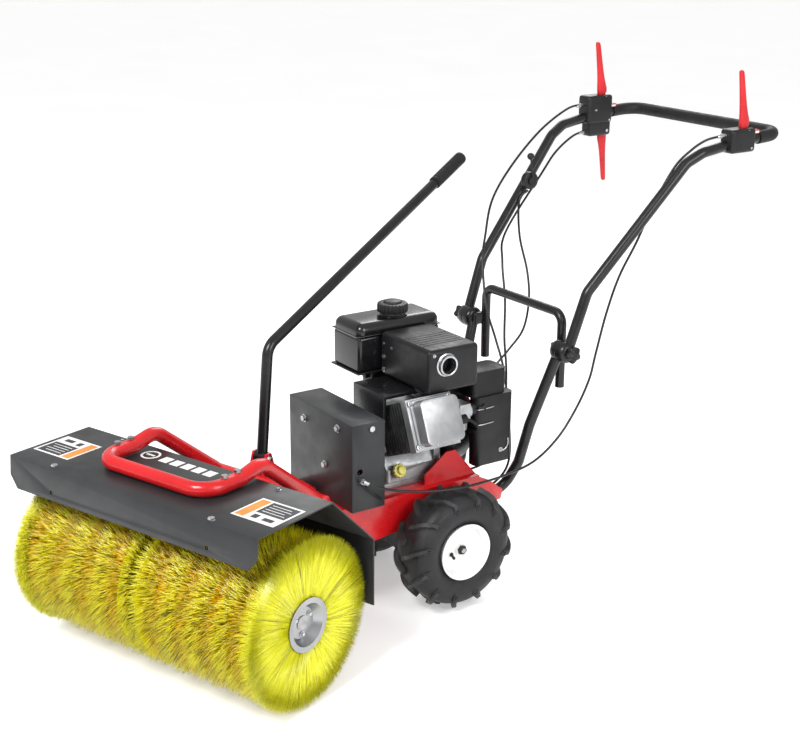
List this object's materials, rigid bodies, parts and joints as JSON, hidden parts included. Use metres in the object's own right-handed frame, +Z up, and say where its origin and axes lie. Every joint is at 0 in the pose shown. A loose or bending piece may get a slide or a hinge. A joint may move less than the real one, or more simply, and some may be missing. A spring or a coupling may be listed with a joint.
{
  "type": "walk behind sweeper",
  "caption": "Petrol walk-behind sweeper: swinging powered brush under a sheet hood, engine and belt drive on a wheeled chassis, tube handle with control levers.",
  "frame": {"origin": "centre of the footprint's box on the ground", "axes": "+Z up, -Y towards the brush, +X towards the operator's left"},
  "size_m": [0.7886, 1.8306, 1.218],
  "materials": {
    "red_paint": "gloss powder coat",
    "grey_paint": "satin powder coat",
    "black_paint": "satin powder coat",
    "white_paint": "gloss enamel",
    "black_plastic": "moulded",
    "bristles": "polypropylene bristles, packed loosely",
    "zinc": "zinc plated",
    "steel": "turned",
    "cast_aluminium": "die cast",
    "cast_iron": "painted casting",
    "rubber": "moulded rubber",
    "tyre_rubber": "moulded rubber",
    "yellow_plastic": "moulded",
    "cable_sheath": "extruded"
  },
  "bodies": {
    "chassis": {"chassis_frame": "red_paint", "transmission": "cast_iron", "bearing_blocks": "cast_iron", "lower_belt_guard": "grey_paint", "belt_guard": "grey_paint", "belt_guard_bolts": "zinc", "crankcase": "cast_aluminium", "cylinder": "cast_aluminium", "valve_cover": "cast_aluminium", "muffler": "cast_iron", "muffler_guard": "black_paint", "fuel_tank": "black_plastic", "blower_housing": "black_paint", "recoil_cover": "red_paint", "air_cleaner": "black_plastic", "carburettor": "cast_aluminium", "spark_plug": "rubber", "engine_bolts": "zinc", "drive_belt": "rubber", "lower_handle": "black_paint", "handle_hoop": "black_paint", "control_cables": "cable_sheath"},
    "filler_cap": {"fuel_cap": "black_plastic"},
    "starter": {"starter_grip": "black_plastic"},
    "choke": {"choke_lever": "black_plastic"},
    "oil_dipstick": {"dipstick": "yellow_plastic"},
    "crank": {"crankshaft": "steel", "drive_pulley": "cast_iron", "flywheel": "cast_aluminium"},
    "drive_line": {"driven_pulley": "cast_aluminium", "drive_shaft": "steel"},
    "tensioner": {"idler_arm": "zinc"},
    "idler_wheel": {"idler_pulley": "steel"},
    "head": {"hood": "grey_paint", "head_frame": "red_paint", "bumper": "red_paint", "bumper_bolts": "zinc", "gearbox": "cast_aluminium", "pivot_pins": "steel", "swing_lever": "black_paint", "swing_grip": "rubber"},
    "swing_lock": {"lock_pin": "zinc"},
    "pinion_shaft": {"input_shaft": "steel"},
    "brush": {"brush_shaft": "steel", "brush_left": "bristles", "brush_right": "bristles", "brush_hubs": "zinc"},
    "wheel_left": {"tyre_left": "tyre_rubber", "rim_left": "white_paint"},
    "wheel_right": {"tyre_right": "tyre_rubber", "rim_right": "white_paint"},
    "handlebar": {"upper_handle": "black_paint", "grip_cover": "rubber", "control_housings": "black_plastic"},
    "fold_knob_left": {"knob_left": "black_plastic"},
    "fold_knob_right": {"knob_right": "black_plastic"},
    "brush_control": {"brush_lever": "red_paint"},
    "drive_control": {"drive_lever": "red_paint"},
    "reverse_control": {"reverse_lever": "red_paint"},
    "throttle": {"throttle_lever": "black_plastic"}
  },
  "joints": [
    {"name": "head_swing", "type": "hinge", "parent": "chassis", "child": "head", "pos_m": [-0.06493, -0.41508, 0.1907], "axis": [0, 0, 1], "range_deg": [-38.7, 1.3]},
    {"name": "swing_lock_slide", "type": "slide", "parent": "head", "child": "swing_lock", "axis": [0, 0, 1], "range_m": [-0.012, 0]},
    {"name": "brush_spin", "type": "hinge", "parent": "head", "child": "brush", "pos_m": [0.00625, -0.62536, 0.1907], "axis": [0.9472, 0.3206, 0], "continuous": true},
    {"name": "pinion_spin", "type": "hinge", "parent": "head", "child": "pinion_shaft", "pos_m": [-0.06493, -0.41508, 0.1907], "axis": [-0.3206, 0.9472, 0], "continuous": true},
    {"name": "drive_line_spin", "type": "hinge", "parent": "chassis", "child": "drive_line", "pos_m": [-0.06493, -0.41508, 0.1907], "axis": [0, 1, 0], "continuous": true},
    {"name": "crank_spin", "type": "hinge", "parent": "chassis", "child": "crank", "pos_m": [-0.09493, -0.20708, 0.38], "axis": [0, 1, 0], "continuous": true},
    {"name": "tensioner_swing", "type": "hinge", "parent": "chassis", "child": "tensioner", "pos_m": [0.01007, -0.18708, 0.385], "axis": [0, 1, 0], "range_deg": [0, 7]},
    {"name": "idler_spin", "type": "hinge", "parent": "tensioner", "child": "idler_wheel", "pos_m": [-0.00653, -0.20708, 0.3067], "axis": [0, 1, 0], "continuous": true},
    {"name": "wheel_left_spin", "type": "hinge", "parent": "chassis", "child": "wheel_left", "pos_m": [0.10307, 0.01192, 0.148], "axis": [1, 0, 0], "continuous": true},
    {"name": "wheel_right_spin", "type": "hinge", "parent": "chassis", "child": "wheel_right", "pos_m": [-0.23293, 0.01192, 0.148], "axis": [1, 0, 0], "continuous": true},
    {"name": "handle_tilt", "type": "hinge", "parent": "chassis", "child": "handlebar", "pos_m": [-0.06493, 0.30992, 0.571], "axis": [1, 0, 0], "range_deg": [-10, 12], "deforming": ["control_cables"]},
    {"name": "knob_left_turn", "type": "hinge", "parent": "handlebar", "child": "fold_knob_left", "pos_m": [0.15007, 0.30992, 0.571], "axis": [1, 0, 0], "continuous": true},
    {"name": "knob_right_turn", "type": "hinge", "parent": "handlebar", "child": "fold_knob_right", "pos_m": [-0.27993, 0.30992, 0.571], "axis": [1, 0, 0], "continuous": true},
    {"name": "brush_lever_squeeze", "type": "hinge", "parent": "handlebar", "child": "brush_control", "pos_m": [0.19307, 0.77192, 1.057], "axis": [-1, 0, 0], "range_deg": [0, 28], "stiffness_Nm_per_rad": 3},
    {"name": "drive_lever_squeeze", "type": "hinge", "parent": "handlebar", "child": "drive_control", "pos_m": [-0.32293, 0.78392, 1.076], "axis": [-1, 0, 0], "range_deg": [0, 28], "stiffness_Nm_per_rad": 3},
    {"name": "reverse_lever_squeeze", "type": "hinge", "parent": "handlebar", "child": "reverse_control", "pos_m": [-0.32293, 0.79192, 0.99], "axis": [1, 0, 0], "range_deg": [0, 28], "stiffness_Nm_per_rad": 3},
    {"name": "throttle_turn", "type": "hinge", "parent": "handlebar", "child": "throttle", "pos_m": [-0.25143, 0.50192, 0.893], "axis": [1, 0, 0], "range_deg": [-30, 45]},
    {"name": "choke_turn", "type": "hinge", "parent": "chassis", "child": "choke", "pos_m": [0.05107, 0.13392, 0.448], "axis": [1, 0, 0], "range_deg": [0, 45]},
    {"name": "fuel_cap_turn", "type": "hinge", "parent": "chassis", "child": "filler_cap", "pos_m": [-0.17693, 0.02792, 0.65], "axis": [0, 0, 1], "range_deg": [0, 90]},
    {"name": "dipstick_turn", "type": "hinge", "parent": "chassis", "child": "oil_dipstick", "pos_m": [-0.00893, -0.07608, 0.312], "axis": [0.9063, 0, 0.4226], "continuous": true},
    {"name": "starter_pull", "type": "slide", "parent": "chassis", "child": "starter", "axis": [0, 0, 1], "range_m": [0, 0.12]}
  ],
  "couplings": [
    {"joint": "pinion_spin", "follows": "brush_spin", "ratio": -2},
    {"joint": "drive_line_spin", "follows": "brush_spin", "ratio": -2},
    {"joint": "crank_spin", "follows": "brush_spin", "ratio": -3.5738},
    {"joint": "idler_spin", "follows": "brush_spin", "ratio": 6.5},
    {"joint": "tensioner_swing", "follows": "brush_lever_squeeze", "ratio": 0.25}
  ]
}
